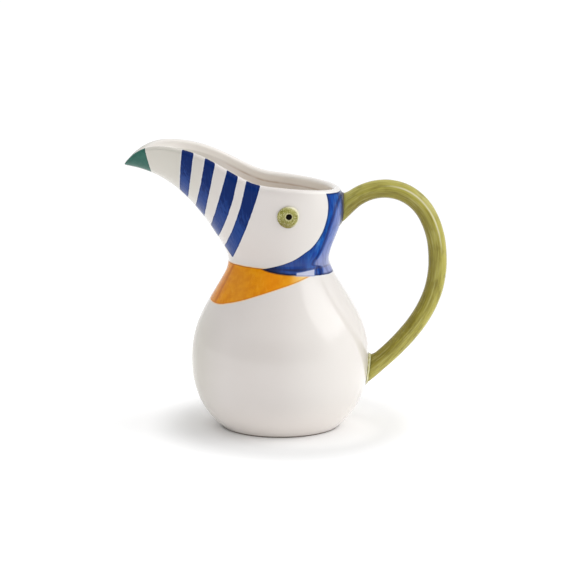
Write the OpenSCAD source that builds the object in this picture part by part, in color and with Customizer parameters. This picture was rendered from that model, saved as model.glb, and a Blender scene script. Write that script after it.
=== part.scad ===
// Pouring jug in glazed porcelain, shaped as a bird: a cast hollow body whose mouth runs
// forward into a long open beak, with a rod handle and two button eyes luted on.
// Lengths are in millimetres. The origin is the centre of the foot, the beak points to -X
// and the handle to +X. Angles round the body start at the back: the handle is at 0,
// the sides are at 90 and the tip of the beak is at 180.

/* [Bowl] */
// Outer radius of the foot
foot_r = 44.5; // [40:0.5:49]
// How far the wall runs outwards as it leaves the foot
foot_spread = 7; // [4:0.5:10]
// How far the wall rises as it leaves the foot
foot_lift = 6; // [4:0.5:9]
// Height of the bevel round the foot
foot_edge = 0.8; // [0.4:0.1:1.2]
// Width of the ring that the jug stands on
foot_ring = 6; // [4:0.5:8]
// Depth of the hollow inside the foot ring
foot_recess = 2; // [1:0.25:3]
// Outer radius at the belly
belly_r = 66; // [62:0.5:70]
// Height of the widest place of the belly
belly_z = 49; // [45:0.5:53]
// Upright stretch of the curve below the belly
belly_drop = 29; // [25:0.5:32]
// Upright stretch of the curve above the belly
belly_climb = 30; // [26:0.5:34]

/* [Neck] */
// Outer radius of the neck at its crease
neck_r = 35.5; // [33:0.5:38]
// Height of the crease at the sides
neck_z = 123; // [119:0.5:127]
// How much the crease rises towards the beak and falls towards the handle
neck_lift = 1.3; // [0:0.1:3]
// Length of the shoulder's run into the crease
shoulder_len = 40; // [34:1:44]
// Slope of the shoulder at the crease, from upright
shoulder_angle = 30; // [26:1:34]
// Share of the shoulder's curve that the soft crease takes
crease_bowl_share = 0.1; // [0.05:0.01:0.15]
// Share of the head's curve that the soft crease takes
crease_head_share = 0.1; // [0.05:0.01:0.15]

/* [Mouth] */
// Distance of the rim behind the axis
back_x = 41.5; // [39:0.5:44]
// Height of the rim at the back
back_z = 178.5; // [175:0.5:182]
// Sideways run of the rim's curve at the back
back_run = 22; // [19:0.5:25]
// Place of the widest part of the mouth along X
mouth_x = -9; // [-13:0.5:-5]
// Half the width of the mouth
mouth_half_w = 42.5; // [40:0.5:45]
// Height of the rim at the widest part of the mouth
mouth_z = 184.5; // [181:0.5:188]
// Length of the rim's straight run past the widest part
mouth_run = 33; // [29:0.5:36]
// Rise of the rim towards the beak, as a share of its run
mouth_slope_share = 0.12; // [0.08:0.01:0.16]
// Radius of the rolled rim
rim_r = 3.2; // [2.6:0.1:3.6]

/* [Beak] */
// Place of the beak's crest along X
crest_x = -86; // [-90:0.5:-82]
// Half the width of the beak at its crest
crest_half_w = 23; // [20:0.5:26]
// Height of the beak's crest
crest_z = 210.8; // [207:0.2:214]
// Length of the rim's run into the crest
crest_run = 39; // [35:0.5:42]
// Narrowing of the beak at the crest, as a share of its run
crest_taper_share = 0.32; // [0.26:0.02:0.38]
// Place of the beak's tip along X
tip_x = -112.5; // [-116:0.5:-109]
// Half the width of the round at the tip
tip_half_w = 6; // [5:0.5:8]
// Height of the tip
tip_z = 196.2; // [194:0.2:198]
// Radius of the rim at the tip
tip_r = 2.4; // [2:0.1:2.8]
// How far the tip's solid part reaches back from its edge
tip_setback = 9; // [7:0.5:11]
// How late the sides of the head turn into the keel of the beak
keel_power = 2.2; // [1.8:0.1:2.6]

/* [Head outside] */
// Rise of the head's curve out of the crease, at the back
back_rise = 18.5; // [15:0.5:22]
// Rise of the head's curve out of the crease, at the sides
side_rise = 18; // [15:0.5:21]
// Outward lean of the head's curve at the crease, at the sides
side_lean = 4; // [2:0.5:6]
// Rise of the throat's curve out of the crease
throat_rise = 31; // [28:0.5:34]
// Forward lean of the throat's curve at the crease
throat_lean = 18; // [15:0.5:21]
// Drop of the head's curve below the rim, at the back
back_drop = 25.5; // [22:0.5:29]
// Swell of the head's curve beyond the rim, at the back
back_swell = 6; // [4:0.5:8]
// Drop of the head's curve below the rim, at the sides
side_drop = 20; // [17:0.5:23]
// Swell of the head's curve beyond the rim, at the sides
side_swell = 2; // [1:0.25:3]
// Drop of the keel's curve below the tip
tip_drop = 4.5; // [3.5:0.25:5.5]
// How far the keel's curve runs back from the tip
tip_pull = 40; // [37:0.5:43]

/* [Inside] */
// Thickness of the wall
wall = 5; // [4:0.25:6]
// Thickness of the floor
floor_t = 6; // [5:0.25:7]
// Radius of the flat part of the floor
floor_r = 34; // [30:0.5:38]
// Run of the round between floor and wall
floor_spread = 16; // [13:0.5:19]
// Rise of the inner throat's curve
inner_throat_rise = 33; // [31:0.5:35]
// Forward lean of the inner throat's curve
inner_throat_lean = 17; // [15:0.5:19]
// Drop of the inner keel's curve below the tip
inner_tip_drop = 2; // [1.5:0.25:2.5]
// How far the inner keel's curve runs back from the tip
inner_tip_pull = 32; // [30:0.5:34]

/* [Handle] */
// Radius of the handle's rod
rod_r = 7; // [6:0.25:8]
// How much the rod widens where it leaves the head
head_flare = 0.4; // [0:0.1:0.8]
// How much further the rod's underside runs down the head
head_sag = 4.8; // [3:0.2:6]
// How much the rod widens where it meets the bowl
bowl_flare = 1.2; // [0.8:0.1:1.6]
// Length over which the rod widens
flare_len = 9; // [7:0.5:12]
// Height at which the handle leaves the head
head_join_z = 163.6; // [160:0.4:167]
// Slope at which the handle leaves the head
head_join_angle = 41.5; // [38:0.5:45]
// Length of the handle's run out of the head
head_join_run = 12.4; // [10:0.2:15]
// Place of the arch's top along X
arch_x = 76.7; // [73:0.5:80]
// Height of the rod's middle at the arch's top
arch_z = 177.5; // [174:0.5:181]
// Level run of the rod before the arch's top
arch_in = 12.6; // [11:0.2:14]
// Level run of the rod after the arch's top
arch_out = 21.7; // [19:0.5:24]
// Furthest reach of the rod's middle along X
grip_x = 115.9; // [112:0.5:119]
// Height of that furthest reach
grip_z = 123.7; // [120:0.5:127]
// Upright run of the rod above the furthest reach
grip_in = 34.7; // [32:0.5:37]
// Upright run of the rod below the furthest reach
grip_out = 37.4; // [34:0.5:40]
// Height at which the handle meets the bowl
bowl_join_z = 41.2; // [38:0.4:45]
// Slope at which the handle meets the bowl
bowl_join_angle = 41; // [38:0.5:44]
// Length of the handle's run into the bowl
bowl_join_run = 33; // [30:0.5:36]

/* [Slip joints] */
// Thickness of the slip between the handle and the body
slip_film = 0.4; // [0.2:0.1:0.8]
// How far the slip spreads round the rod
slip_spread = 1.4; // [0.8:0.1:2]
// How far the slip climbs up the rod
slip_climb = 1.8; // [1:0.1:2.5]
// Thickness of the slip at its outer edge
slip_edge = 0.15; // [0.1:0.05:0.25]
// Clearance between a luted piece and the glazed wall
seat_gap = 0.1; // [0.04:0.02:0.16]

/* [Eyes] */
// Angle of the eyes round the head
eye_angle = 73.9; // [70:0.5:78]
// Height of the eyes
eye_z = 162.3; // [159:0.5:166]
// Radius of an eye's button
eye_r = 8.1; // [7:0.1:9]
// Height of the button's side
eye_edge = 0.9; // [0.6:0.1:1.2]
// Height of the button at its middle
eye_h = 2.9; // [2.4:0.1:3.4]
// Radius of the dimple that holds the pupil
dimple_r = 2.3; // [2:0.1:2.8]
// Depth of the dimple
dimple_depth = 1.1; // [0.9:0.1:1.3]
// How far the pupil sits above the middle of the eye
pupil_lift = 0.8; // [0:0.1:1.2]
// Height of the pupil's bead
pupil_h = 0.8; // [0.5:0.1:1]
// Clearance round the pupil's bead
pupil_gap = 0.08; // [0.04:0.02:0.14]

/* [Hidden] */

glaze_white = [0.95, 0.94, 0.92];
glaze_olive = [0.6, 0.56, 0.28];
glaze_black = [0.05, 0.03, 0.02];
glaze_clear = [0.82, 0.8, 0.68];

// Angles round the body where the rim's three curves join
side_at = 90;
crest_at = 150;
tip_at = 180;
// Slices of the body from the back to the side, to the crest and to the tip
side_slices = 14;
crest_slices = 11;
tip_slices = 10;
// Steps of each stretch of a slice, from the foot outwards and back down the inside
foot_steps = 8;
shoulder_steps = 10;
crease_steps = 4;
head_steps = 14;
rim_steps = 8;
inner_head_steps = 12;
inner_crease_steps = 3;
inner_shoulder_steps = 9;
inner_foot_steps = 6;
// Sides of the rod and its rings along the three curves of its path
rod_sides = 24;
head_rings = 5;
arch_rings = 13;
grip_rings = 18;
// Rings of an end face, of a slip fillet and of an eye, and the sides of an eye
disc_steps = 3;
fillet_steps = 4;
dome_steps = 5;
eye_sides = 28;
pupil_sides = 16;
// Passes of a search for a place on the wall, and the small turns that measure a slope
search_passes = 24;
slope_turn = 0.1;
slope_share = 0.002;
// Room that the first full ring of the rod keeps from the wall, as a share of its own reach
ring_room_share = 1.25;

// The three curves of the rim, back to side, side to crest and crest to tip
rim_side = [mouth_x, mouth_half_w, mouth_z];
rim_run = [mouth_run, 0, -mouth_run * mouth_slope_share];
rim_crest = [crest_x, crest_half_w, crest_z];
crest_way = unit([-1, -crest_taper_share, 0]) * crest_run;
back_curve = [[back_x, 0, back_z], [back_x, back_run, back_z], rim_side + rim_run, rim_side];
beak_curve = [rim_side, rim_side - rim_run * (crest_at - side_at) / side_at,
              rim_crest - crest_way, rim_crest];
tip_curve = [rim_crest, rim_crest + crest_way / 2, [tip_x, tip_half_w, tip_z], [tip_x, 0, tip_z]];

function unit(v) = v / norm(v);
function limit(x, low, high) = min(max(x, low), high);
function mirrored(p) = [p.x, -p.y, p.z];

// A cubic curve through four control points, and its direction
function curve(c, t) =
    let (u = 1 - t)
    c[0] * u * u * u + c[1] * 3 * t * u * u + c[2] * 3 * t * t * u + c[3] * t * t * t;
function curve_way(c, t) =
    let (u = 1 - t)
    unit((c[1] - c[0]) * u * u + (c[2] - c[1]) * 2 * t * u + (c[3] - c[2]) * t * t);

// The value between low and high at which a rising function reaches a goal
function search(f, goal, low, high, passes = search_passes) =
    let (middle = (low + high) / 2)
    passes == 0 ? middle
    : f(middle) < goal ? search(f, goal, middle, high, passes - 1)
    : search(f, goal, low, middle, passes - 1);

// Shares that run smoothly from 0 to 1, from the back to the side and on to the beak
function side_ease(a) = (1 - cos(2 * limit(a, 0, side_at))) / 2;
function beak_ease(a) = pow((1 - cos(2 * limit(a - side_at, 0, side_at))) / 2, keel_power);
function round_body(a, back, side, front) =
    a < side_at ? back + (side - back) * side_ease(a) : side + (front - side) * beak_ease(a);

// The rim at an angle: its top line, the level way outwards and the way up across the line
function rim_frame(a) =
    let (c = a < side_at ? back_curve : a < crest_at ? beak_curve : tip_curve,
         t = a < side_at ? a / side_at
           : a < crest_at ? (a - side_at) / (crest_at - side_at)
           : (a - crest_at) / (tip_at - crest_at),
         way = curve_way(c, t),
         out = unit([way.y, -way.x, 0]))
    [curve(c, t), out, cross(out, way)];

// A point round the rolled rim, from its outer end at 0 to its inner end at 180
function rim_point(a, turn) =
    let (frame = rim_frame(a),
         r = rim_r + (tip_r - rim_r) * beak_ease(a),
         reach = cos(turn) > 0 ? r : r + tip_setback * pow(beak_ease(a), 3))
    frame[0] - frame[2] * r + frame[1] * reach * cos(turn) + frame[2] * r * sin(turn);

// A point on the head's outer or inner skin, from the crease at 0 to the rim at 1
function head_point(a, share, inner) =
    let (frame = rim_frame(a),
         level = [cos(a), sin(a), 0],
         start = level * (neck_r - (inner ? wall : 0)) + [0, 0, neck_z - neck_lift * cos(a)],
         end = rim_point(a, inner ? 180 : 0),
         lean = round_body(a, 0, side_lean, inner ? inner_throat_lean : throat_lean),
         rise = round_body(a, back_rise, side_rise, inner ? inner_throat_rise : throat_rise),
         swell = round_body(a, back_swell, side_swell, 0),
         drop = round_body(a, back_drop, side_drop, inner ? inner_tip_drop : tip_drop),
         pull = round_body(a, 0, 0, inner ? inner_tip_pull : tip_pull))
    curve([start, start + level * lean + [0, 0, rise],
           end + frame[1] * swell - frame[2] * drop + [pull, 0, 0], end], share);

// A point on the bowl's outer or inner skin, from the foot at 0 to the belly at 1 and the crease at 2
function bowl_point(a, share, inner) =
    let (w = inner ? wall : 0,
         lower = inner
           ? [[floor_r, floor_t], [floor_r + floor_spread, floor_t],
              [belly_r - w, belly_z - belly_drop + w], [belly_r - w, belly_z]]
           : [[foot_r, foot_edge], [foot_r + foot_spread, foot_edge + foot_lift],
              [belly_r, belly_z - belly_drop], [belly_r, belly_z]],
         upper = [[belly_r - w, belly_z], [belly_r - w, belly_z + belly_climb],
                  [neck_r - w + shoulder_len * sin(shoulder_angle),
                   neck_z - shoulder_len * cos(shoulder_angle)],
                  [neck_r - w, neck_z]],
         p = share <= 1 ? curve(lower, share) : curve(upper, share - 1),
         lift = neck_lift * cos(a) * pow(limit(share - 1, 0, 1), 3))
    [p.x * cos(a), p.x * sin(a), p.y - lift];

// A point on the soft crease, from the shoulder at 0 to the head at 1
function crease_point(a, share, inner) =
    let (low = bowl_point(a, 2 - crease_bowl_share, inner),
         corner = head_point(a, 0, inner),
         high = head_point(a, crease_head_share, inner),
         u = 1 - share)
    low * u * u + corner * 2 * share * u + high * share * share;

function foot_point(a, r, z) = [r * cos(a), r * sin(a), z];

// One slice of the body: out along the base, up the outside, over the rim and down the inside
function slice(a) =
    let (bowl_run = 1 - crease_bowl_share,
         head_run = 1 - crease_head_share)
    concat(
        [foot_point(a, foot_r - foot_ring - foot_recess, foot_recess)],
        [foot_point(a, foot_r - foot_ring, 0)],
        [foot_point(a, foot_r - foot_edge, 0)],
        [for (i = [0 : foot_steps]) bowl_point(a, i / foot_steps, false)],
        [for (i = [1 : shoulder_steps]) bowl_point(a, 1 + bowl_run * i / shoulder_steps, false)],
        [for (i = [1 : crease_steps]) crease_point(a, i / crease_steps, false)],
        [for (i = [1 : head_steps]) head_point(a, crease_head_share + head_run * i / head_steps, false)],
        [for (i = [1 : rim_steps]) rim_point(a, 180 * i / rim_steps)],
        [for (i = [1 : inner_head_steps]) head_point(a, 1 - head_run * i / inner_head_steps, true)],
        [for (i = [1 : inner_crease_steps]) crease_point(a, 1 - i / inner_crease_steps, true)],
        [for (i = [1 : inner_shoulder_steps])
            bowl_point(a, 1 + bowl_run * (1 - i / inner_shoulder_steps), true)],
        [for (i = [1 : inner_foot_steps]) bowl_point(a, 1 - i / inner_foot_steps, true)]);

// A closed skin over rings of points, from a first point to a last one
module skin(first, rings, last) {
    n = len(rings[0]);
    m = len(rings);
    top = n * m + 1;
    points = concat([first], [for (ring = rings) each ring], [last]);
    sides = [for (i = [0 : m - 2], j = [0 : n - 1])
        let (a = 1 + i * n + j, b = 1 + i * n + (j + 1) % n)
        each [[a, a + n, b + n], [a, b + n, b]]];
    ends = [for (j = [0 : n - 1])
        let (k = (j + 1) % n)
        each [[0, 1 + j, 1 + k], [top, top - n + k, top - n + j]]];
    polyhedron(points, concat(sides, ends));
}

// A seat on the outer skin at an angle and a share: its middle, its ways and its slopes
function outer_head(a, share) = a < 0 ? mirrored(head_point(-a, share, false)) : head_point(a, share, false);
function outer_bowl(a, share) = bowl_point(a, share, false);
function seat(shell, a, share) =
    let (turn = (shell(a + slope_turn, share) - shell(a - slope_turn, share)) / slope_turn / 2,
         climb = (shell(a, share + slope_share) - shell(a, share - slope_share)) / slope_share / 2,
         out = unit(cross(turn, climb)),
         along = unit(turn))
    [shell(a, share), along, cross(out, along), out, turn, climb, shell, a, share];

// A point at a distance along and up the skin from a seat's middle, lifted off the skin
function seat_point(s, along, up, lift) =
    let (shell = s[6],
         climbs = up / (s[5] * s[2]),
         turns = (along - climbs * (s[5] * s[1])) / norm(s[4]))
    shell(s[7] + turns, s[8] + climbs) + s[3] * lift;

// The handle's two seats at the back of the head and of the bowl
head_seat = seat(function (a, s) outer_head(a, s), 0,
    search(function (s) outer_head(0, s).z, head_join_z, 0, 1));
bowl_seat = seat(function (a, s) outer_bowl(a, s), 0,
    search(function (s) outer_bowl(0, s).z, bowl_join_z, 0, 1));

// The path of the rod's middle, from the head over the arch and the grip to the bowl
head_way = [cos(head_join_angle), 0, sin(head_join_angle)];
bowl_way = [cos(bowl_join_angle), 0, sin(bowl_join_angle)];
arch_top = [arch_x, 0, arch_z];
grip_far = [grip_x, 0, grip_z];
head_path = [head_seat[0], head_seat[0] + head_way * head_join_run,
             arch_top - [arch_in, 0, 0], arch_top];
arch_path = [arch_top, arch_top + [arch_out, 0, 0], grip_far + [0, 0, grip_in], grip_far];
grip_path = [grip_far, grip_far - [0, 0, grip_out],
             bowl_seat[0] + bowl_way * bowl_join_run, bowl_seat[0]];

// The rod's two ends: each one's seat, its way out, its radius and the spread of its underside
head_end = [head_seat, head_way, rod_r + head_flare, head_sag];
bowl_end = [bowl_seat, bowl_way, rod_r + bowl_flare, 0];

// Shares of a path that its first full ring keeps from an end which the rod meets at a slant
function end_skip(end, run) =
    let (lean = acos(end[1] * end[0][3]))
    ring_room_share * end[2] * tan(lean) / (3 * run);
head_skip = end_skip(head_end, head_join_run);
bowl_skip = end_skip(bowl_end, bowl_join_run);

// How far the rod has widened at a place, as a share of its widening at an end
function flared(p, end) = pow(1 - limit(norm(p - end[0][0]) / flare_len, 0, 1), 2);

// A ring of the rod square to its path
function rod_ring(path, t) =
    let (p = curve(path, t),
         way = curve_way(path, t),
         up = cross(way, [0, 1, 0]),
         r = rod_r + head_flare * flared(p, head_end) + bowl_flare * flared(p, bowl_end),
         sag = head_sag * flared(p, head_end))
    [for (j = [0 : rod_sides - 1])
        let (turn = 360 * j / rod_sides, rise = cos(turn))
        p + up * (rise < 0 ? r + sag : r) * rise - [0, r * sin(turn), 0]];

// A loop round an end that the rod meets at a slant, at a share of its outline or past it
function end_loop(end, share, spread, lift) =
    let (r = end[2] * share, slant = end[1] * end[0][3])
    [for (j = [0 : rod_sides - 1])
        let (turn = 360 * j / rod_sides,
             rise = cos(turn),
             reach = r / slant + spread + (rise < 0 ? end[3] * share : 0))
        seat_point(end[0], -(r + spread) * sin(turn), reach * rise, lift)];

// The points of a ring in the order that the rod's far end sees them
function turned(ring) =
    let (half = rod_sides / 2)
    [for (j = [0 : rod_sides - 1]) ring[(rod_sides + half - j) % rod_sides]];

film_top = seat_gap + slip_film;
rod_rings = concat(
    [for (i = [1 : disc_steps]) end_loop(head_end, i / disc_steps, 0, film_top)],
    [for (i = [0 : head_rings - 1]) rod_ring(head_path, head_skip + (1 - head_skip) * i / head_rings)],
    [for (i = [0 : arch_rings - 1]) rod_ring(arch_path, i / arch_rings)],
    [for (i = [0 : grip_rings]) rod_ring(grip_path, (1 - bowl_skip) * i / grip_rings)],
    [for (i = [0 : disc_steps - 1]) turned(end_loop(bowl_end, 1 - i / disc_steps, 0, film_top))]);

// The slip that lutes an end of the rod to its seat: a film under the end and a fillet round it,
// which climbs towards the rod's first full ring
module slip(end, full_ring) {
    s = end[0];
    outline = end_loop(end, 1, 0, film_top);
    climbed = [for (j = [0 : rod_sides - 1])
        outline[j] + unit(full_ring[j] - outline[j]) * slip_climb];
    edge = end_loop(end, 1, slip_spread, seat_gap + slip_edge);
    rings = concat(
        [for (i = [1 : disc_steps])
            let (t = i / disc_steps)
            end_loop(end, t, slip_spread * t, seat_gap)],
        [for (i = [0 : fillet_steps])
            let (t = i / fillet_steps, u = 1 - t)
            edge * u * u + outline * 2 * t * u + climbed * t * t],
        [for (i = [0 : disc_steps - 1]) end_loop(end, 1 - i / disc_steps, 0, film_top)]);
    skin(s[0] + s[3] * seat_gap, rings, s[0] + s[3] * film_top);
}

// The seat of an eye, a circle over it, drawn towards the pupil's middle by a share, and the rise
// of the eye's dome at a share of its radius
eye_seat = seat(function (a, s) outer_head(a, s), eye_angle,
    search(function (s) outer_head(eye_angle, s).z, eye_z, 0, 1));
function eye_circle(sides, r, share, lift) =
    [for (j = [0 : sides - 1])
        let (turn = 360 * j / sides)
        seat_point(eye_seat, r * cos(turn), r * sin(turn) + pupil_lift * share, lift)];
function eye_rise(share) = eye_edge + (eye_h - eye_edge) * sqrt(1 - share * share);
dimple_floor = eye_rise(dimple_r / eye_r) - dimple_depth;

module eye_button() {
    rings = concat(
        [for (i = [1 : disc_steps]) eye_circle(eye_sides, eye_r * i / disc_steps, 0, seat_gap)],
        [for (i = [0 : dome_steps])
            let (share = i / dome_steps,
                 q = sin(90 * (1 - share)),
                 r = dimple_r + (eye_r - dimple_r) * q)
            eye_circle(eye_sides, r, 1 - q, eye_rise(r / eye_r))],
        [eye_circle(eye_sides, dimple_r - pupil_gap, 1, dimple_floor)]);
    middle = seat_point(eye_seat, 0, pupil_lift, dimple_floor);
    skin(eye_seat[0] + eye_seat[3] * seat_gap, rings, middle);
}

module pupil_bead() {
    low = dimple_floor + pupil_gap;
    r = dimple_r - 2 * pupil_gap;
    rings = concat(
        [eye_circle(pupil_sides, r, 1, low)],
        [for (i = [0 : disc_steps])
            let (turn = 90 * i / (disc_steps + 1))
            eye_circle(pupil_sides, r * cos(turn), 1, low + pupil_h * (1 + sin(turn)) / 2)]);
    skin(seat_point(eye_seat, 0, pupil_lift, low), rings,
         seat_point(eye_seat, 0, pupil_lift, low + pupil_h));
}

module body() {
    half = concat(
        [for (i = [0 : side_slices - 1]) side_at * i / side_slices],
        [for (i = [0 : crest_slices - 1]) side_at + (crest_at - side_at) * i / crest_slices],
        [for (i = [0 : tip_slices]) crest_at + (tip_at - crest_at) * i / tip_slices]);
    near = [for (a = half) slice(a)];
    far = [for (j = [len(half) - 2 : -1 : 1]) [for (p = near[j]) mirrored(p)]];
    slices = concat(near, far);
    rings = [for (i = [0 : len(near[0]) - 1]) [for (column = slices) column[i]]];
    color(glaze_white) skin([0, 0, foot_recess], rings, [0, 0, floor_t]);
}

module handle() {
    color(glaze_olive)
        skin(head_seat[0] + head_seat[3] * film_top, rod_rings, bowl_seat[0] + bowl_seat[3] * film_top);
}

module handle_top_joint() {
    color(glaze_clear) slip(head_end, rod_rings[disc_steps]);
}

module handle_bottom_joint() {
    color(glaze_clear) slip(bowl_end, turned(rod_rings[len(rod_rings) - disc_steps - 1]));
}

module eye_right() {
    color(glaze_olive) eye_button();
}

module eye_left() {
    color(glaze_olive) mirror([0, 1, 0]) eye_button();
}

module pupil_right() {
    color(glaze_black) pupil_bead();
}

module pupil_left() {
    color(glaze_black) mirror([0, 1, 0]) pupil_bead();
}

body();
handle();
handle_top_joint();
handle_bottom_joint();
eye_left();
eye_right();
pupil_left();
pupil_right();
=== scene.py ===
# A glazed porcelain jug shaped as a bird, on a white floor in soft light. Each piece is a smooth
# copy of its solid, painted and glazed. Lengths are in metres, or in millimetres where a name
# or a comment says so. The beak points to -X, the handle to +X and the side that is seen to -Y.
import math

import bpy
import numpy as np
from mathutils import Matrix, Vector, noise


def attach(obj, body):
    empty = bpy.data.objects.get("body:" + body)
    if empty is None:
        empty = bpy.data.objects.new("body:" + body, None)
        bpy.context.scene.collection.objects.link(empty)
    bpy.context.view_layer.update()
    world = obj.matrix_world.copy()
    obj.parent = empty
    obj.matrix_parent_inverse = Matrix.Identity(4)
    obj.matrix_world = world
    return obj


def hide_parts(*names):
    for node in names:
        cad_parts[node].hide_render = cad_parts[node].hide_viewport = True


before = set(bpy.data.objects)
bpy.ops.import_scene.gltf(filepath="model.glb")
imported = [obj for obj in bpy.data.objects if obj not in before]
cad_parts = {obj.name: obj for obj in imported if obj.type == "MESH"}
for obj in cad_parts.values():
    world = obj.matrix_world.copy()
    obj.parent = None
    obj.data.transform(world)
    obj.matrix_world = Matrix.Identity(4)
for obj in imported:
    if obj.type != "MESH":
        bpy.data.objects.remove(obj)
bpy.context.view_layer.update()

MM = 0.001
PICTURE_PX = 567

# The camera: its distance from the jug's axis, its height and its step to the right, its turn and
# tilt, its focal length in pixels, how far it sees, and the width of its film in millimetres
CAMERA_REACH = 1.5
CAMERA_RISE = 0.385
CAMERA_SIDESTEP = 0.0023
CAMERA_TURN = math.radians(2.3)
CAMERA_TILT = math.radians(10.53)
CAMERA_FOCUS_PX = 2062
CAMERA_SIGHT = 100
FILM_MM = 36

# The light of the studio: the strength of each part of a white sky round the jug, of the soft box
# at the right, and of the painted light that the floor's paper gives off round the jug's shadow
LIGHTS = {
    "over": 1.12,
    "front_mid": 0.91, "right_mid": 1.04, "back_mid": 0.96, "left_mid": 0.77,
    "front_low": 0.29, "right_low": 1.21, "back_low": 0.9, "left_low": 0.49,
    "soft_box": 2.05,
    "floor_glow": 0.24,
}
# Where the parts of the sky begin, in degrees. A pair holds where a part starts to show and
# where it shows fully: by its rise over the floor, by its turn from the front to either side,
# and for the right side by its turn from the front to the right
MID_RISE, OVER_RISE = (15, 35), (50, 75)
FRONT_TURN, BACK_TURN = (80, 45), (100, 135)
RIGHT_TURN = (-5, 5)
# The soft box: how far its left edge leans with the rise, and pairs for its four edges
BOX_LEAN = 0.47
BOX_LEFT, BOX_RIGHT = (75, 80), (140, 100)
BOX_LOW, BOX_HIGH = (13, 24), (52, 45)

# The floor: a wide round sheet of dull white paper
FLOOR_RADIUS = 9
FLOOR_CORNERS = 96
PAPER_WHITE = (0.9, 0.9, 0.9, 1)
PAPER_ROUGHNESS = 0.8
# The paper gives off painted light that shapes the jug's shadow, most in a ring round the shadow
# and a little in front of the foot. Each has a middle, and pairs of distances from it over which
# the glow starts or ends. The ring's distances are scaled along Y. The last value is the share of
# the glow that is left outside the ring and in front of the foot
RING_MIDDLE, RING_SCALE = (0.008, 0.005), 0.8
RING_START, RING_END = (0.072, 0.112), (0.22, 0.36)
FRONT_MIDDLE, FRONT_END = (0.02, -0.02), (0.06, 0.04)
LEAST_GLOW = 0.33

# Points closer than this are one point
MERGE = 1e-6
# How many times the faces of a piece are divided
SMOOTH_LEVELS = 2
# How far the slip at the handle's ends is pressed into the wall
SLIP_PRESS = 0.0003
# The length and the depth of the waves in the skin of the body and of the rod
BODY_WAVES = (0.03, 0.00007)
ROD_WAVES = (0.012, 0.0002)

# The roughness of the glazes: where nothing varies it, the least where something does, and that
# of the clear coat
PLAIN_ROUGHNESS = 0.12
LEAST_ROUGHNESS = 0.1
COAT_ROUGHNESS = 0.11

# From here on all places and lengths are in millimetres. A line is the height over the axis and
# the slope, and a slant is the place along X at the floor and its shift with height

# The edge of paint, where its pool starts inside the edge, and the faint colour that bleeds out
# of it, as depths
PAINT_EDGE = (-0.15, 0.2)
POOL_START = 0.1
BLEED_EDGE = (-1.0, -0.1)
BLEED_SHARE = 0.6
# The radius of the rolled rim. Paint on the outside ends a share of it before the top
RIM_RADIUS = 3.2
RIM_SHARE = 0.05
# The stripes on each side of the beak: three points down the front edge and three down the back
# edge, as places along X and heights
STRIPES = [
    ([(-69.9, 204.9), (-71.4, 192.7), (-73.0, 180.5)],
     [(-61.4, 201.7), (-63.4, 189.6), (-65.8, 177.6)]),
    ([(-53.3, 198.5), (-56.2, 184.3), (-60.3, 170.1)],
     [(-45.9, 195.2), (-49.5, 179.2), (-53.7, 163.1)]),
    ([(-37.4, 192.2), (-42.6, 174.0), (-48.9, 155.8)],
     [(-29.6, 185.1), (-34.5, 167.2), (-41.8, 149.2)]),
    ([(-23.2, 185.1), (-28.8, 163.5), (-37.7, 141.8)],
     [(-13.2, 182.0), (-21.0, 158.5), (-30.8, 135.1)]),
]
# The lines over the stripes' top ends and under their feet, and the end of the last stripe
STRIPE_TOP = (176.2, -0.41)
STRIPE_FOOT = (99.0, -1.153)
STRIPE_END = (86.3, -1.23)
# The slant at the green tip's edge
TIP_EDGE = (-65.8, -0.15)
# The blue nape's front edge, as heights and places along X, and its lower edge, as places along
# X and heights
NAPE_EDGE = [(123.1, -11.5), (125.2, -2.4), (127.0, 4.0), (130.0, 11.6), (133.9, 17.8),
             (139.2, 24.8), (147.8, 30.7), (156.5, 34.0), (165.2, 35.5), (171.0, 35.4),
             (176.4, 34.3)]
NAPE_FOOT = [(-12.0, 123.1), (-4.4, 120.9), (4.9, 119.4), (13.0, 118.6), (27.3, 117.3),
             (37.4, 116.3), (50.0, 115.5)]
# A dark line down the nape, as heights and places along X: behind it the blue is lightened by a
# painted reflection
NAPE_DARK_LINE = [(115, 31.6), (121, 31.4), (123.4, 29.8), (125.4, 25.6), (127, 26.0), (130, 28.4),
            (134.9, 31.2), (146.6, 35.6), (159.2, 39.8), (168, 42.8), (177, 47.0)]
# A short run beside its foot, as a place along X and the heights over which it starts
SHORT_RUN, SHORT_RUN_TOP = 27.4, (125, 123.5)
# The white band that the nape leaves under the top of the rim
NAPE_BAND = 1.9
# The pale patch at the foot of the nape, a painted reflection of the soft box: its two ends along
# X, and the line over it
GLINT_ENDS = (13.2, 25.8)
GLINT_TOP = (118.9, 0.11)
# The orange collar's lower edge, as places along X and heights, and the line of the crease that
# is its upper edge
COLLAR_EDGE = [(-51.1, 95.8), (-45.6, 95.7), (-36.1, 98.0), (-27.1, 100.7), (-13.9, 105.3),
               (-1.0, 109.5), (11.8, 113.5), (19.6, 116.3)]
CREASE = (123.2, -0.03)
# The slant of a dark line down the collar's paint
COLLAR_LINE = (-95.0, 0.5)
# The bowl's flanks, where the clear coat is thinner: the slant before the right one, and the
# places along X over which the left one starts
RIGHT_FLANK = (107.0, -0.75)
LEFT_FLANK = (-42, -58)
# The heights between which the glaze ends: the clay that the jug stands on is bare, and its dark
# colour there is also a painted contact shadow
BARE_FOOT = (1.2, 0.5)

# The eye's middle and the pupil's middle, along X and Z
EYE_MIDDLE = (7.3, 162.35)
PUPIL_MIDDLE = (7.95, 162.85)
EYE_RADIUS = 8.05
# The middle of the handle's arch along X and Z, the parts that its middle line is found in, and
# the thickness of its rod
ARCH_MIDDLE = (60, 120)
ARCH_PARTS = 48
ROD_THICKNESS = 14
# Places along the rod, from 0 where it is farthest from the jug, up to its upper end: where its
# two roots start, and where the bend at the top starts and ends
UPPER_ROOT, LOWER_ROOT = (100, 116), (-80, -98)
BEND_START, BEND_END = (8, 30), (80, 60)

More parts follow.
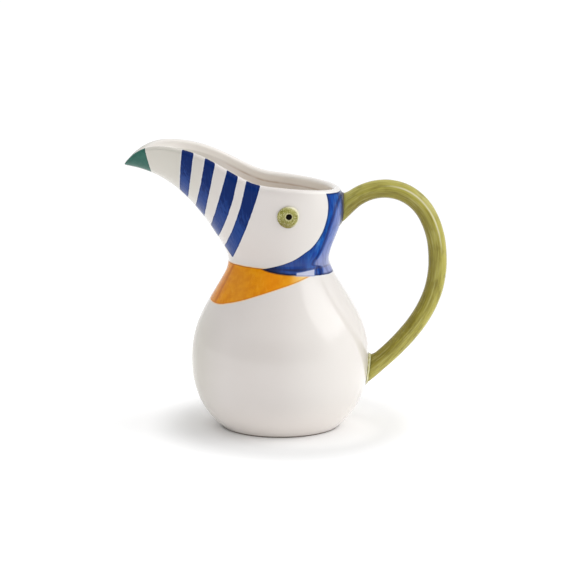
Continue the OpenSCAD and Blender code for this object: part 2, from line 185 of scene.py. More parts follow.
# From where the wall of the hollow is seen: in the bowl from its axis, level with each point but
# not under a height, and in the head from a line through the open mouth and the beak, as places
# along X and heights, from a step nearer to the handle. The head starts on the beak's side of a
# place along X and over a height, and takes over within a distance
LEAST_HEIGHT = 60
MOUTH_LINE = [(-112.5, 195.5), (-100, 206.5), (-86, 210.8), (-9, 184.5)]
HEAD_STEP = 12
HEAD_START = (-9, 125)
HEAD_FADE = 30
# The top of the rim from the tip to the back, as three bends: each has two ends and, between
# them, two points that pull it, as places along X and heights
CREST_BENDS = [
    [(-112.5, 196.2), (-112.5, 196.2), (-104.6, 210.8), (-86, 210.8)],
    [(-86, 210.8), (-48.9, 210.8), (-31, 187.1), (-9, 184.5)],
    [(-9, 184.5), (24, 180.5), (41.5, 178.5), (41.5, 178.5)],
]
BEND_PARTS = 12

# The colours of the glazes and paints, as a screen shows them from 0 to 255
TINTS = {
    # White outside with painted light and shade, and cream inside with painted light far down, the
    # painted highlight along the inside of the rim and the painted shade line under it
    "white": (223, 216, 211), "white_cloud": (227, 221, 217), "white_right_lit": (233, 228, 223),
    "white_foot_lit": (240, 233, 227), "white_beak_shaded": (210, 206, 196),
    "cream": (235, 214, 184), "cream_cloud": (241, 223, 197), "cream_deep_lit": (242, 236, 228),
    "cream_beak": (246, 244, 236), "cream_tip": (229, 227, 214),
    "rim_highlight": (238, 233, 227), "under_rim_shade": (176, 146, 116),
    # The orange collar, with a painted highlight towards its right end
    "orange": (220, 130, 0), "orange_blotch": (234, 153, 12), "orange_streak": (243, 174, 52),
    "orange_front": (224, 150, 52), "orange_middle": (238, 142, 0), "orange_right_highlight": (248, 178, 36),
    "orange_thin_and_highlight": (250, 216, 138), "orange_line": (188, 98, 0), "orange_pool": (212, 118, 0),
    "orange_bled": (242, 206, 130),
    # The blue nape, with a painted highlight streak, and painted reflections on its flank and at
    # its foot
    "blue": (8, 70, 166), "blue_brush": (36, 108, 192), "blue_broad": (10, 52, 144),
    "blue_front": (28, 62, 138), "blue_highlight": (70, 140, 210), "blue_flank_reflection": (112, 132, 200),
    "blue_lower_flank_reflection": (158, 164, 208), "blue_dark_line": (0, 30, 104), "blue_swirl": (2, 24, 92),
    "blue_low": (4, 20, 62), "blue_pool": (0, 26, 84), "blue_pool_front": (8, 12, 22),
    "blue_bled": (226, 230, 238), "blue_bled_collar": (60, 46, 48), "glint": (194, 198, 221),
    "glint_bled": (96, 120, 186),
    # The navy stripes, lighter at their feet with painted light from the floor, the green tip, the
    # crease, and the bare clay, darkened as a painted contact shadow
    "navy": (8, 40, 104), "navy_brush": (30, 66, 138), "navy_thin_and_floor_lit": (54, 80, 146),
    "navy_rim": (4, 24, 78), "navy_pool": (2, 30, 92), "navy_bled": (222, 226, 236),
    "green": (24, 84, 72), "green_cloud": (50, 112, 98), "green_pool": (16, 56, 50),
    "green_bled": (220, 226, 220),
    "crease": (40, 26, 40), "clay_and_contact_shadow": (118, 104, 92),
    # The handle, with painted shade on its inner side, painted light on its outer side and painted
    # highlight lines, and its slip
    "rod_inner_shaded": (138, 127, 44), "rod_outer_lit": (182, 174, 82), "rod_patch": (116, 106, 34),
    "rod_dark": (112, 100, 34), "rod_light": (196, 190, 120), "rod_root": (190, 184, 96),
    "rod_painted_highlight": (240, 236, 206),
    "slip_olive": (112, 104, 44), "slip_olive_spot": (150, 142, 66), "slip_pale": (190, 184, 110),
    "slip_pale_spot": (220, 216, 170), "slip_navy": (10, 30, 84),
    # The eye, lighter at the top and darker at the bottom as painted light and shade, with a
    # painted highlight along its right edge, and its pupil
    "eye": (134, 132, 42), "eye_broad": (166, 162, 78), "eye_speck": (206, 200, 150),
    "eye_dark_speck": (100, 94, 24), "eye_top_lit": (206, 202, 132), "eye_low_shaded": (118, 102, 38),
    "eye_edge": (236, 232, 204),
    "pupil": (8, 4, 4), "pupil_edge": (34, 20, 12),
}


def tint(name):
    """A colour by its name, in the shader's own scale."""
    shares = [v / 255 for v in TINTS[name]]
    return [s / 12.92 if s <= 0.04045 else ((s + 0.055) / 1.055) ** 2.4 for s in shares] + [1]


# Shader values and nodes


class Socket:
    """A shader value. An expression on values adds its Math nodes."""

    def __init__(self, nodes, output):
        self.nodes = nodes
        self.output = output

    def math(self, operation, *values):
        return self.nodes.node("ShaderNodeMath", {"operation": operation}, dict(enumerate(values)))

    def __add__(self, other):
        return self.math("ADD", self, other)

    def __sub__(self, other):
        return self.math("SUBTRACT", self, other)

    def __mul__(self, other):
        return self.math("MULTIPLY", self, other)

    def __truediv__(self, other):
        return self.math("DIVIDE", self, other)

    def __pow__(self, other):
        return self.math("POWER", self, other)

    def __radd__(self, other):
        return self.math("ADD", other, self)

    def __rsub__(self, other):
        return self.math("SUBTRACT", other, self)

    def __rmul__(self, other):
        return self.math("MULTIPLY", other, self)

    def __rtruediv__(self, other):
        return self.math("DIVIDE", other, self)

    def least(self, other, blend=0.0):
        """The smaller value, with the corner between them rounded over blend."""
        if blend:
            return self.math("SMOOTH_MIN", self, other, blend)
        return self.math("MINIMUM", self, other)

    def most(self, other):
        return self.math("MAXIMUM", self, other)

    def size(self):
        return self.math("ABSOLUTE", self)

    def step(self, low, high):
        """A smooth rise from 0 at low to 1 at high."""
        return self.nodes.node("ShaderNodeMapRange", {"interpolation_type": "SMOOTHSTEP"},
                               {"Value": self, "From Min": low, "From Max": high})

    def band(self, middle, reach):
        """1 at a middle value, falling to 0 at a reach on both sides of it."""
        return (self - middle).size().step(reach, 0)


def distance(across, up, middle, scale=1):
    """How far a place lies from a middle, with its second axis scaled."""
    across, up = across - middle[0], (up - middle[1]) * scale
    return (across * across + up * up) ** 0.5


class Nodes:
    """A tree of shader nodes."""

    def __init__(self, tree):
        self.tree = tree

    def node(self, kind, settings, values, output=0):
        """Any node: its settings are set first, then the values or links of its sockets."""
        node = self.tree.nodes.new(kind)
        for key, value in settings.items():
            if key == "points":
                self.set_points(node, value)
            else:
                setattr(node, key, value)
        for key, value in values.items():
            if isinstance(value, Socket):
                self.tree.links.new(value.output, node.inputs[key])
            else:
                node.inputs[key].default_value = value
        return Socket(self, node.outputs[output])

    def set_points(self, node, points):
        """The points of a Float Curve, in order."""
        line = node.mapping.curves[0]
        for place, height in points[1:-1]:
            line.points.new(place, height)
        line.points[0].location = points[0]
        line.points[-1].location = points[-1]
        node.mapping.update()

    def curve(self, value, points):
        """A smooth line through points, each a value and the result there."""
        low, high = points[0][0], points[-1][0]
        results = [r for _, r in points]
        base, span = min(results), max(results) - min(results)
        shares = [((v - low) / (high - low), (r - base) / span) for v, r in points]
        share = self.node("ShaderNodeFloatCurve", {"points": shares},
                          {"Value": (value - low) / (high - low)})
        return share * span + base

    def axes(self, vector):
        return [self.node("ShaderNodeSeparateXYZ", {}, {"Vector": vector}, axis) for axis in "XYZ"]


class Glaze(Nodes):
    """A glazed material: place is the Object coordinates in millimetres. Gloss is what the glaze
    itself mirrors, and coat the share of the clear coat over it."""

    def __init__(self, name, gloss, coat):
        self.material = bpy.data.materials.new(name)
        self.material.use_nodes = True
        super().__init__(self.material.node_tree)
        self.shader = self.tree.nodes["Principled BSDF"]
        self.shader.inputs["Roughness"].default_value = PLAIN_ROUGHNESS
        self.shader.inputs["Specular IOR Level"].default_value = gloss
        self.shader.inputs["Coat Weight"].default_value = coat
        self.shader.inputs["Coat Roughness"].default_value = COAT_ROUGHNESS
        object_place = self.node("ShaderNodeTexCoord", {}, {}, "Object")
        self.place = self.node("ShaderNodeVectorMath", {"operation": "SCALE"},
                               {"Vector": object_place, "Scale": 1 / MM}, "Vector")
        self.x, _, self.z = self.axes(self.place)

    def noise(self, size, detail=2.0, stretch=(1, 1, 1), seed=0.0, place=None):
        """Noise from 0 to 1 with features of about a size, drawn out along an axis by stretch."""
        spot = self.node("ShaderNodeMapping", {}, {
            "Vector": place or self.place, "Location": (seed, 2 * seed, 3 * seed),
            "Scale": [1 / (size * s) for s in stretch]}, "Vector")
        return self.node("ShaderNodeTexNoise", {}, {"Vector": spot, "Scale": 1.0, "Detail": detail})

    def written(self, name, output="Fac"):
        """What the piece's own points carry under a name."""
        return self.node("ShaderNodeAttribute", {"attribute_name": name}, {}, output)

    def mix(self, share, first, second):
        """A colour between two, which are colours or sockets."""
        return self.node("ShaderNodeMix", {"data_type": "RGBA"},
                         {0: share, 6: first, 7: second}, 2)

    def layered(self, colour, *layers):
        """A colour under layers, each with its share and its own colour."""
        for share, layer in layers:
            colour = self.mix(share, colour, layer)
        return colour

    def line(self, start, slope):
        """The height of a straight line at a place along X."""
        return self.x * slope + start

    def slant(self, start, shift):
        """The place along X of a straight line at a height."""
        return self.z * shift + start

    def feed(self, name, value):
        self.tree.links.new(value.output, self.shader.inputs[name])

    def bump(self, height):
        """Relief from a height in millimetres."""
        self.feed("Normal", self.node("ShaderNodeBump", {}, {
            "Height": height, "Distance": MM, "Strength": 1.0}, "Normal"))


# The glazes of the pieces


class BodyGlaze(Glaze):
    """The glaze of the body: a ground, and paints that are laid on it one after the other.
    Facing and drop are what write_facing leaves on each point. Wobble is how far a painted edge
    strays, and outside is how far a place lies past the top of the rim. Painted is 1 under
    paint."""

    def __init__(self):
        super().__init__("body_glaze", gloss=0.08, coat=1)
        self.facing, self.drop = self.written("facing"), self.written("drop")
        self.crease = self.line(*CREASE)
        self.cloud = self.noise(30, detail=3)
        self.brush = self.noise(1.3, detail=3, stretch=(1, 1, 9), seed=4)
        self.broad = self.noise(5, stretch=(1, 1, 3), seed=8)
        slow, quick = self.noise(7, detail=1) - 0.5, self.noise(2, detail=1, seed=7) - 0.5
        self.wobble = slow * 0.7 + quick * 0.4
        self.outside = (self.facing - RIM_SHARE) * RIM_RADIUS + self.wobble * 0.5
        self.colour = self.ground()
        self.coat = self.z * 0 + 1
        self.painted = self.z * 0

    def white(self):
        """The white glaze of the outside: lighter at the right and near the foot as painted light,
        and darker and warmer towards the beak as painted shade.
        """
        right, foot, beak = self.x.step(-4, 32), self.z.step(34, 6), self.x.step(-34, -72)
        return self.layered(
            self.mix(self.cloud, tint("white"), tint("white_cloud")),
            (right, tint("white_right_lit")),
            (foot, tint("white_foot_lit")),
            (beak, tint("white_beak_shaded")))

    def cream(self):
        """The warmer glaze of the inside, which is paler towards the tip, and paler far down as
        painted light in the dark of the hollow.
        """
        deep, beak, tip = self.drop.step(30, 90), self.x.step(-14, -56), self.x.step(-58, -84)
        return self.layered(
            self.mix(self.cloud, tint("cream"), tint("cream_cloud")),
            (deep, tint("cream_deep_lit")),
            (beak, tint("cream_beak")),
            (tip, tint("cream_tip")))

    def ground(self):
        """White outside and cream inside, with a painted highlight along the inside of the rim and
        a faint brown line of painted shade under it."""
        hollow = self.facing.step(-0.4, -0.9)
        rim_highlight = self.facing.step(0.1, -0.3) * self.drop.step(7.2, 5.6)
        gaps = self.noise(9, seed=31).step(0.2, 0.6) * self.x.step(-52, -22)
        under_rim_shade = hollow * self.drop.band(7.8, 1.0) * gaps
        return self.layered(
            self.white(),
            (hollow * self.drop.step(8, 24), self.cream()),
            (rim_highlight * 0.9, tint("rim_highlight")),
            (under_rim_shade * 0.6, tint("under_rim_shade")))

    def lay(self, depth, paint, coat, pooled, bled, pool_width=1.3, pool_share=0.75):
        """Lays paint where depth is over 0. Along its edge it is darker, where it pools over a
        width by a share, and a faint colour bleeds out of it."""
        mask = depth.step(*PAINT_EDGE)
        pool = depth.step(pool_width, POOL_START) * pool_share
        self.colour = self.mix(depth.step(*BLEED_EDGE) * BLEED_SHARE, self.colour, bled)
        self.colour = self.mix(mask, self.colour, self.mix(pool, paint, pooled))
        self.coat = self.coat * (1 - mask) + mask * coat
        self.painted = self.painted.most(mask)

    def paint_collar(self):
        """A blotchy orange collar under the crease, which grows paler towards the right, where the
        paint thins out and a highlight is painted on it.
        """
        x, z = self.x, self.z
        depth = (z - self.curve(x, COLLAR_EDGE)).least(self.crease - z)
        depth = depth.least(self.outside) + self.wobble * 0.3
        blotch = self.noise(6, detail=3, stretch=(1, 1, 0.7), seed=12)
        streak = self.noise(3, detail=3, stretch=(0.5, 1, 3), seed=15)
        collar_line = (x - self.slant(*COLLAR_LINE)).band(0, 1.5)
        front, middle = x.band(-29, 14), x.band(-5, 12)
        right, thin = x.step(0, 12), x.step(7, 19)
        orange = self.layered(
            self.mix(blotch.step(0.3, 0.7), tint("orange"), tint("orange_blotch")),
            (streak.step(0.5, 0.8) * 0.6, tint("orange_streak")),
            (front * 0.4, tint("orange_front")),
            (middle * 0.6, tint("orange_middle")),
            (right * 0.5, tint("orange_right_highlight")),
            (thin * 0.85, tint("orange_thin_and_highlight")),
            (collar_line * 0.7, tint("orange_line")))
        self.lay(depth, orange, coat=0.05, pooled=tint("orange_pool"), bled=tint("orange_bled"))

    def nape_blue(self, over_foot):
        """The blue of the nape: brushed, with a painted highlight streak and a dark line down it,
        lightened by a painted reflection on the flank behind the line, and dark along its lower
        edge."""
        x, z = self.x, self.z
        past_dark_line = x - self.curve(z, NAPE_DARK_LINE)
        dark_line = (past_dark_line + self.wobble * 1.4).band(-1.1, 1.9)
        short_run = (x + self.wobble - SHORT_RUN).band(0, 0.9) * z.step(*SHORT_RUN_TOP)
        light = past_dark_line.band(-5.0, 1.8) * z.step(134, 142) * z.step(166, 158)
        flank = self.mix(z.step(146, 120), tint("blue_flank_reflection"), tint("blue_lower_flank_reflection"))
        swirl = (self.noise(7, detail=1, stretch=(1, 1, 2.5), seed=18) - 0.5).band(0, 0.1)
        low = over_foot.band(3.4, 1.3) * x.step(0, 8) * x.step(28, 24)
        front, tip, behind = x.step(30, 16), x.step(8, -5), past_dark_line.step(-0.3, 1.6)
        return self.layered(
            self.mix(self.brush.step(0.3, 0.7), tint("blue"), tint("blue_brush")),
            (self.broad.step(0.4, 0.7) * 0.6, tint("blue_broad")),
            (front * 0.7, tint("blue_front")),
            (light * self.broad.step(0.3, 0.5) * 0.7, tint("blue_highlight")),
            (behind * 0.75, flank),
            (dark_line.most(short_run) * 0.9, tint("blue_dark_line")),
            (swirl * 0.3, tint("blue_swirl")),
            ((low * 0.6).most(tip * 0.85), tint("blue_low")))

    def paint_nape(self):
        """Blue from the rim down to the crease behind the eye, with a pale patch at its foot that
        is a painted reflection.
        """
        x, z = self.x, self.z
        over_foot = z - self.curve(x, NAPE_FOOT)
        depth = (x - self.curve(z, NAPE_EDGE)).least(over_foot, 0.8).least(self.drop - NAPE_BAND)
        depth = depth.least(self.outside) + self.wobble * 0.4
        low, back = z.step(134, 122), x.step(36, 42)
        coat = (low.most(back * 0.3) * 0.88 + 0.03) * depth.step(0.2, 2.0)
        pooled = self.mix(x.step(30, 6), tint("blue_pool"), tint("blue_pool_front"))
        on_collar = over_foot.step(0.6, 0) * x.step(16, 8)
        bled = self.mix(on_collar, tint("blue_bled"), tint("blue_bled_collar"))
        self.lay(depth, self.nape_blue(over_foot), coat, pooled, bled, pool_width=1.9,
                 pool_share=0.95)

        front, back = GLINT_ENDS
        glint = (x - front).least(back - x).least(self.line(*GLINT_TOP) - z, 0.8)
        glint = (glint + self.wobble * 0.5).least(over_foot - 0.2)
        pale = tint("glint")
        self.lay(glint, pale, coat=0.4, pooled=pale, bled=tint("glint_bled"))

    def edge(self, points):
        """The place along X of a stripe's edge at each height: a bend through three points."""
        bend, slope, start = np.polyfit([z for _, z in points], [x for x, _ in points], 2)
        return (self.z * bend + slope) * self.z + start

    def paint_stripes(self):
        """Navy stripes down both sides of the head, thinner and lighter towards their feet: partly
        thin paint, partly painted light from the floor below.
        """
        depths = [(self.x - self.edge(front)).least(self.edge(back) - self.x)
                  for front, back in STRIPES]
        depth = depths[0]
        for other in depths[1:]:
            depth = depth.most(other)
        over_end = (self.z - self.line(*STRIPE_END)) / math.hypot(1, STRIPE_END[1])
        depth = depth.least(self.outside, 2.6).least(over_end, 1.5) + self.wobble * 0.75
        top, foot = self.line(*STRIPE_TOP), self.line(*STRIPE_FOOT)
        fall = (top - self.z) / (top - foot)
        thin = fall.step(0.1, 1.15) + (self.brush - 0.5) * 1.3 + (self.broad - 0.5) * 0.7
        navy = self.layered(
            self.mix(thin.step(0.05, 0.6), tint("navy"), tint("navy_brush")),
            (thin.step(0.6, 1.15), tint("navy_thin_and_floor_lit")),
            (self.outside.step(3.0, 0.6) * 0.6, tint("navy_rim")))
        self.lay(depth, navy, coat=0.04, pooled=tint("navy_pool"), bled=tint("navy_bled"))

    def paint_tip(self):
        """Green over the outside of the beak's tip."""
        depth = (self.slant(*TIP_EDGE) - self.x + self.wobble * 0.6).least(self.outside - 0.6)
        green = self.mix(self.noise(3, detail=3, seed=5), tint("green"), tint("green_cloud"))
        self.lay(depth, green, coat=0.3, pooled=tint("green_pool"), bled=tint("green_bled"),
                 pool_width=0.8)

    def finish(self):
        """Darkens the paint that pools in the crease, leaves the foot bare and dark, as bare clay
        and as a painted contact shadow, thins the clear coat on the flanks of the bowl, and adds
        the relief of glaze and paint."""
        in_crease = (self.z - self.crease).band(0, 1.1) * self.facing.step(0, 0.5)
        foot = self.z.step(*BARE_FOOT)
        flanks = (self.x - self.slant(*RIGHT_FLANK)).step(0, 8).most(self.x.step(*LEFT_FLANK))
        flanks = flanks * (self.crease - self.z).step(0, 1)
        self.feed("Base Color", self.layered(
            self.colour,
            (in_crease * self.painted * 0.4, tint("crease")),
            (foot, tint("clay_and_contact_shadow"))))
        self.feed("Coat Weight", self.coat * (1 - foot) * (1 - flanks * 0.8))
        self.feed("Roughness", foot * 0.5 + self.cloud * 0.06 + LEAST_ROUGHNESS)
        waves = self.noise(26, detail=1, seed=11) * 0.1 + self.noise(8, detail=1, seed=13) * 0.02
        self.bump(waves + self.painted * 0.03 + self.brush * self.painted * 0.008)


def body_glaze():
    """White glaze over an orange collar, a blue nape, painted stripes and a green tip."""
    glaze = BodyGlaze()
    glaze.paint_collar()
    glaze.paint_nape()
    glaze.paint_stripes()
    glaze.paint_tip()
    glaze.finish()
    return glaze.material


def handle_glaze():
    """Yellow-green glaze that was brushed along the rod and is thin at its roots. Its inner side,
    towards the jug, is darker as painted shade and its outer side lighter as painted light, and two
    painted highlight lines run along its bend."""
    glaze = Glaze("handle_glaze", gloss=0.08, coat=0.5)
    rod = glaze.written("rod", "Vector")
    along, across, out = glaze.axes(rod)
    fine = glaze.noise(1.1, detail=3, stretch=(14, 1, 1), seed=4, place=rod)
    broad = glaze.noise(3.2, stretch=(9, 1, 1), seed=9, place=rod)
    patches = glaze.noise(4, detail=4, stretch=(2, 1, 1), seed=23, place=rod)
    tone = out / ROD_THICKNESS + 0.5 + (broad - 0.5) * 1.1
    roots = along.step(*UPPER_ROOT) + along.step(*LOWER_ROOT)
    bend = along.step(*BEND_START) * along.step(*BEND_END) * across.size().step(3.5, 5)
    highlight_lines = out.band(3.2, 1.0).most(out.band(6.3, 1.0) * 0.4)
    glaze.feed("Base Color", glaze.layered(
        glaze.mix(tone.step(0, 1), tint("rod_inner_shaded"), tint("rod_outer_lit")),
        (patches.step(0.5, 0.7) * 0.45, tint("rod_patch")),
        (fine.step(0.5, 0.72) * 0.5, tint("rod_dark")),
        (fine.step(0.48, 0.3) * 0.4, tint("rod_light")),
        (roots * 0.5, tint("rod_root")),
        (bend * highlight_lines * broad.step(0.1, 0.4) * 0.65, tint("rod_painted_highlight"))))
    glaze.feed("Roughness", broad * 0.12 + LEAST_ROUGHNESS)
    glaze.bump(fine * 0.03 + glaze.noise(11, detail=1, seed=2) * 0.12)
    return glaze.material


def joint_glaze():
    """The slip at the handle's ends: the glaze pools at the upper one, with the nape's blue
    beside the wall, and is thin at the lower one."""
    glaze = Glaze("joint_glaze", gloss=0.2, coat=0.8)
    thin = glaze.noise(3, detail=3)
    spots = thin.step(0.35, 0.65)
    olive = glaze.mix(spots, tint("slip_olive"), tint("slip_olive_spot"))
    pale = glaze.mix(spots, tint("slip_pale"), tint("slip_pale_spot"))
    upper = glaze.z.step(100, 120)
    near_wall = glaze.x.step(47.0, 46.0) * glaze.z.step(148, 156)
    glaze.feed("Base Color", glaze.layered(
        pale, (upper, olive), (near_wall * 0.9, tint("slip_navy"))))
    glaze.feed("Roughness", thin * 0.1 + LEAST_ROUGHNESS)
    glaze.bump(thin * 0.05)
    return glaze.material


def eye_glaze():
    """Green glaze with pale specks. It is lighter at the top and darker at the bottom as painted
    light and shade, a painted highlight runs along the edge at the right, and it is pale round the
    pupil."""
    glaze = Glaze("eye_glaze", gloss=0.2, coat=0.6)
    x = (glaze.x - EYE_MIDDLE[0]) / EYE_RADIUS
    z = (glaze.z - EYE_MIDDLE[1]) / EYE_RADIUS
    up, right = z + x * 0.4, x + z * 0.3
    top, bottom = up.step(0.3, 1.0), up.step(-0.1, -1.0)
    specks = glaze.noise(0.9, seed=6)
    broad = glaze.noise(5, seed=3)
    edge = distance(glaze.x, glaze.z, EYE_MIDDLE).step(6.6, 7.5) * right.step(-0.2, 0.6)
    ring = distance(glaze.x, glaze.z, PUPIL_MIDDLE).band(2.6, 0.7)
    glaze.feed("Base Color", glaze.layered(
        glaze.mix(broad.step(0.3, 0.7), tint("eye"), tint("eye_broad")),
        (specks.step(0.5, 0.64) * 0.75, tint("eye_speck")),
        (specks.step(0.47, 0.34) * 0.7, tint("eye_dark_speck")),
        (top * 0.45, tint("eye_top_lit")),
        (bottom * 0.6, tint("eye_low_shaded")),
        (edge * 0.85, tint("eye_edge")),
        (ring * 0.8, tint("eye_speck"))))
    glaze.feed("Roughness", specks * 0.15 + LEAST_ROUGHNESS)
    glaze.bump(specks * 0.04)
    return glaze.material


def pupil_glaze():
    """A dark bead with a brown edge."""
    glaze = Glaze("pupil_glaze", gloss=0, coat=0.1)
    wobble = (glaze.noise(1.2) - 0.5) * 0.5
    edge = (distance(glaze.x, glaze.z, PUPIL_MIDDLE) + wobble).step(1.3, 2.1)
    glaze.feed("Base Color", glaze.mix(edge, tint("pupil"), tint("pupil_edge")))
    glaze.bump(glaze.noise(1.5, detail=1, seed=4) * 0.03)
    return glaze.material


# The shapes of the pieces


def pick(piece):
    """Leaves the piece as the only one selected."""
    bpy.ops.object.select_all(action="DESELECT")
    piece.select_set(True)
    bpy.context.view_layer.objects.active = piece


def read_points(mesh, name):
    """The places or the normals of a mesh's points, in rows of three."""
    values = np.zeros(len(mesh.vertices) * 3)
    mesh.vertices.foreach_get(name, values)
    return values.reshape(-1, 3)


def move_points(piece, places):
    """Puts the points of a piece at new places."""
    piece.data.vertices.foreach_set("co", places.ravel())
    piece.data.update()


def write_points(mesh, name, kind, values):
    """Leaves values on a mesh's points under a name, for its material to read."""
    attribute = mesh.attributes.new(name, kind, "POINT")
    key = "vector" if kind == "FLOAT_VECTOR" else "value"
    attribute.data.foreach_set(key, np.ascontiguousarray(values, dtype=np.float32).ravel())


def keep_foot_flat(mesh):
    """Sharpens the edges that the jug stands on, so that they stay on the floor."""
    ends = np.zeros(len(mesh.edges) * 2, dtype=np.int32)
    mesh.edges.foreach_get("vertices", ends)
    heights = read_points(mesh, "co")[:, 2][ends.reshape(-1, 2)].max(axis=1)
    crease = mesh.attributes.new("crease_edge", "FLOAT", "EDGE")
    crease.data.foreach_set("value", (heights < MERGE).astype(np.float32))


def smooth_copy(node, name, material):
    """A piece in the shape of the CAD node that it replaces: merged, four-sided and smooth."""
    piece = bpy.data.objects.new(name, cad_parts[node].data.copy())
    bpy.context.scene.collection.objects.link(piece)
    pick(piece)
    bpy.ops.object.mode_set(mode="EDIT")
    bpy.ops.mesh.select_all(action="SELECT")
    bpy.ops.mesh.remove_doubles(threshold=MERGE)
    bpy.ops.mesh.tris_convert_to_quads(face_threshold=math.pi, shape_threshold=math.pi)
    bpy.ops.object.mode_set(mode="OBJECT")
    bpy.ops.mesh.customdata_custom_splitnormals_clear()
    keep_foot_flat(piece.data)
    smooth = piece.modifiers.new("smooth", "SUBSURF")
    smooth.levels = smooth.render_levels = SMOOTH_LEVELS
    bpy.ops.object.modifier_apply(modifier="smooth")
    bpy.ops.object.shade_smooth()
    piece.data.materials.clear()
    piece.data.materials.append(material)
    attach(piece, "root")
    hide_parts(node)
    return piece


def bend_line(points):
    """Places along a bend from its first point to its last, drawn by the two between them."""
    share = np.linspace(0, 1, BEND_PARTS + 1)[:, None]
    start, lead, trail, end = np.array(points)
    early = start * (1 - share) ** 3 + lead * 3 * (1 - share) ** 2 * share
    return early + trail * 3 * (1 - share) * share ** 2 + end * share ** 3


def write_facing(piece):
    """Writes to each point how far its skin faces away from the hollow: 1 outside, -1 inside
    and 0 along the top of the rim, and how far it lies under that top, in millimetres."""
    places, normals = read_points(piece.data, "co") / MM, read_points(piece.data, "normal")
    x, y, z = places.T
    before_head, over_bowl = HEAD_START[0] - x, z - HEAD_START[1]
    head = np.clip(before_head / HEAD_FADE, 0, 1) * np.clip(over_bowl / HEAD_FADE, 0, 1)
    height = np.maximum(z, LEAST_HEIGHT) * (1 - head) + np.interp(x, *zip(*MOUTH_LINE)) * head
    away = places - np.stack([(x + HEAD_STEP) * head, 0 * y, height], 1)
    away /= np.linalg.norm(away, axis=1)[:, None]
    crest = np.concatenate([bend_line(points) for points in CREST_BENDS])
    write_points(piece.data, "facing", "FLOAT", (away * normals).sum(1))
    write_points(piece.data, "drop", "FLOAT", np.interp(x, *crest.T) - z)


def make_uneven(piece, wave, depth):
    """Sinks the skin a little, in waves of a length, as a glazed wall is never quite even."""
    places, normals = read_points(piece.data, "co"), read_points(piece.data, "normal")
    sink = np.array([noise.noise(Vector(p) / wave) * 0.5 + 0.5 for p in places])
    move_points(piece, places - normals * sink[:, None] * depth)


def write_rod(piece):
    """Writes to each point its place in the bent rod in millimetres: along it, across it, and
    out from its middle line, away from the middle of the arch."""
    x, y, z = (read_points(piece.data, "co") / MM).T
    angle = np.arctan2(z - ARCH_MIDDLE[1], x - ARCH_MIDDLE[0])
    reach = np.hypot(x - ARCH_MIDDLE[0], z - ARCH_MIDDLE[1])
    parts = np.linspace(angle.min(), angle.max(), ARCH_PARTS + 1)
    part = np.clip(np.digitize(angle, parts) - 1, 0, ARCH_PARTS - 1)
    middle = [(reach[part == k].min() + reach[part == k].max()) / 2 for k in range(ARCH_PARTS)]
    out = reach - np.interp(angle, (parts[1:] + parts[:-1]) / 2, middle)
    in_rod = np.stack([angle * np.mean(middle), y, out], 1)
    write_points(piece.data, "rod", "FLOAT_VECTOR", in_rod)


def press_on(piece, depth):
    """Moves a piece towards the jug's wall, so that the slip closes on it."""
    move_points(piece, read_points(piece.data, "co") - (depth, 0, 0))


def build_jug():
    body = smooth_copy("body", "painted_body", body_glaze())
    write_facing(body)
    make_uneven(body, *BODY_WAVES)
    handle = smooth_copy("handle", "rod_handle", handle_glaze())
    write_rod(handle)
    make_uneven(handle, *ROD_WAVES)
    slip = joint_glaze()
    for node, name in (("handle_top_joint", "upper_slip"), ("handle_bottom_joint", "lower_slip")):
        press_on(smooth_copy(node, name, slip), SLIP_PRESS)
    button, bead = eye_glaze(), pupil_glaze()
    for side in ("left", "right"):
        smooth_copy("eye_" + side, side + "_eye_button", button)
        smooth_copy("pupil_" + side, side + "_pupil_bead", bead)


# The studio


def floor_paper():
    """Dull white paper that gives off painted light in a ring round the jug and before its foot,
    which shapes the jug's shadow.
    """
    material = bpy.data.materials.new("floor_paper")
    material.use_nodes = True
    shader = material.node_tree.nodes["Principled BSDF"]
    shader.inputs["Base Color"].default_value = PAPER_WHITE
    shader.inputs["Roughness"].default_value = PAPER_ROUGHNESS
    shader.inputs["Specular IOR Level"].default_value = 0
    shader.inputs["Emission Strength"].default_value = LIGHTS["floor_glow"]
    paper = Nodes(material.node_tree)
    x, y, _ = paper.axes(paper.node("ShaderNodeTexCoord", {}, {}, "Object"))
    from_ring = distance(x, y, RING_MIDDLE, RING_SCALE)
    from_front = distance(x, y, FRONT_MIDDLE)
    ring = from_ring.step(*RING_START) * (1 - from_ring.step(*RING_END) * (1 - LEAST_GLOW))
    glow = ring + from_front.step(*FRONT_END) * LEAST_GLOW
    paper.tree.links.new(glow.output, shader.inputs["Emission Color"])
    return material


def build_floor():
    bpy.ops.object.select_all(action="DESELECT")
    bpy.ops.mesh.primitive_circle_add(
        vertices=FLOOR_CORNERS, radius=FLOOR_RADIUS, fill_type="NGON")
    floor = bpy.context.object
    floor.name = "floor"
    floor.data.materials.append(floor_paper())


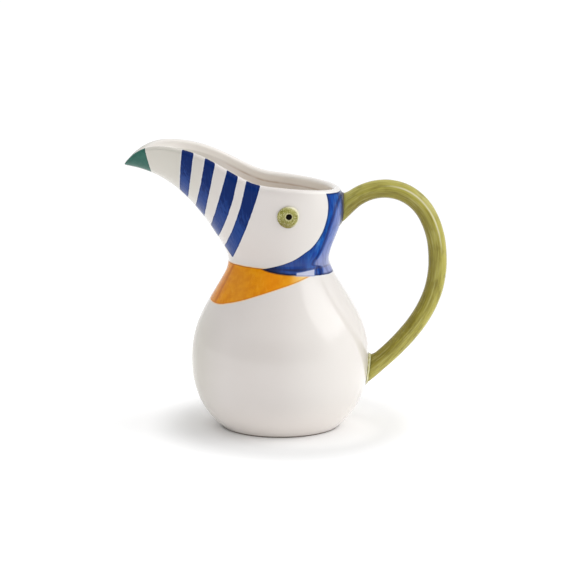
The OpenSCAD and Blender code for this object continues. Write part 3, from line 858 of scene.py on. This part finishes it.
def build_lights():
    """A white sky that changes with direction, and a large soft box at the right. Turn is 0
    in front of the jug and 90 at its right, and rise is 0 at the floor and 90 overhead."""
    world = bpy.data.worlds.new("studio")
    world.use_nodes = True
    bpy.context.scene.world = world
    sky = Nodes(world.node_tree)
    x, y, z = sky.axes(sky.node("ShaderNodeTexCoord", {}, {}, "Generated"))
    turn = x.math("ARCTAN2", x, y * -1) * math.degrees(1)
    rise = z.math("ARCSINE", z) * math.degrees(1)
    mid_and_over, over = rise.step(*MID_RISE), rise.step(*OVER_RISE)
    front, back = turn.size().step(*FRONT_TURN), turn.size().step(*BACK_TURN)
    sides = 1 - front - back
    right = sides * turn.step(*RIGHT_TURN)
    round_it = {"front": front, "right": right, "back": back, "left": sides - right}
    strength = over * LIGHTS["over"]
    for name, share in round_it.items():
        strength = strength + share * (mid_and_over - over) * LIGHTS[name + "_mid"]
        strength = strength + share * (1 - mid_and_over) * LIGHTS[name + "_low"]
    box = (turn + rise * BOX_LEAN).step(*BOX_LEFT) * turn.step(*BOX_RIGHT)
    box = box * rise.step(*BOX_LOW) * rise.step(*BOX_HIGH)
    strength = strength + box * LIGHTS["soft_box"]
    background = world.node_tree.nodes["Background"]
    background.inputs["Color"].default_value = (1, 1, 1, 1)
    world.node_tree.links.new(strength.output, background.inputs["Strength"])


def build_camera():
    lens = bpy.data.cameras.new("camera")
    lens.sensor_width = FILM_MM
    lens.lens = CAMERA_FOCUS_PX / PICTURE_PX * FILM_MM
    lens.clip_end = CAMERA_SIGHT
    camera = bpy.data.objects.new("camera", lens)
    bpy.context.scene.collection.objects.link(camera)
    turn_cos, turn_sin = math.cos(CAMERA_TURN), math.sin(CAMERA_TURN)
    camera.location = (CAMERA_REACH * turn_sin + CAMERA_SIDESTEP * turn_cos,
                       -CAMERA_REACH * turn_cos + CAMERA_SIDESTEP * turn_sin, CAMERA_RISE)
    camera.rotation_euler = (math.pi / 2 - CAMERA_TILT, 0, CAMERA_TURN)
    bpy.context.scene.camera = camera


build_camera()
build_lights()
build_floor()
build_jug()
bpy.context.scene.view_settings.view_transform = "Standard"
